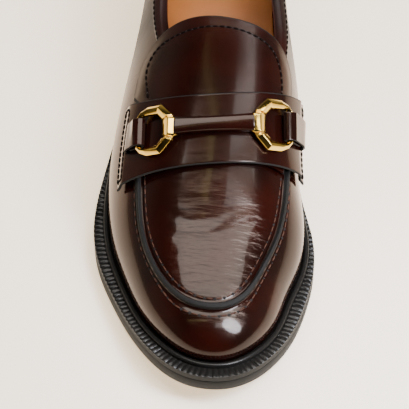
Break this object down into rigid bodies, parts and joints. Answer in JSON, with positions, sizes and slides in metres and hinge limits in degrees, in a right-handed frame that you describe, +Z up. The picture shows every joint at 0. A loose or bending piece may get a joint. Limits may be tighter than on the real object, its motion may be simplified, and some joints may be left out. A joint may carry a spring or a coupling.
{
  "type": "bit loafer",
  "caption": "Polished burgundy leather loafer with raised apron seam, saddle strap, gold metal bit with leather-wrapped bar, and thick black rubber sole.",
  "frame": {"origin": "middle of the bounding box's underside, on the floor", "axes": "+Z up, +Y from the toe to the heel, +X to the medial side of this right shoe"},
  "size_m": [0.1046, 0.2752, 0.0911],
  "materials": {
    "burgundy_leather": "polished, deep oxblood, high gloss",
    "gold_metal": "polished gold plate",
    "black_rubber": "matte moulded",
    "tan_leather": "smooth matte"
  },
  "bodies": {
    "root": {"upper": "burgundy_leather", "tongue": "burgundy_leather", "saddle_strap": "burgundy_leather", "tab_medial": "burgundy_leather", "tab_lateral": "burgundy_leather", "bit_bar": "burgundy_leather", "ring_medial": "gold_metal", "ring_lateral": "gold_metal", "welt": "black_rubber", "outsole": "black_rubber", "heel": "black_rubber", "insole": "tan_leather"}
  },
  "joints": []
}
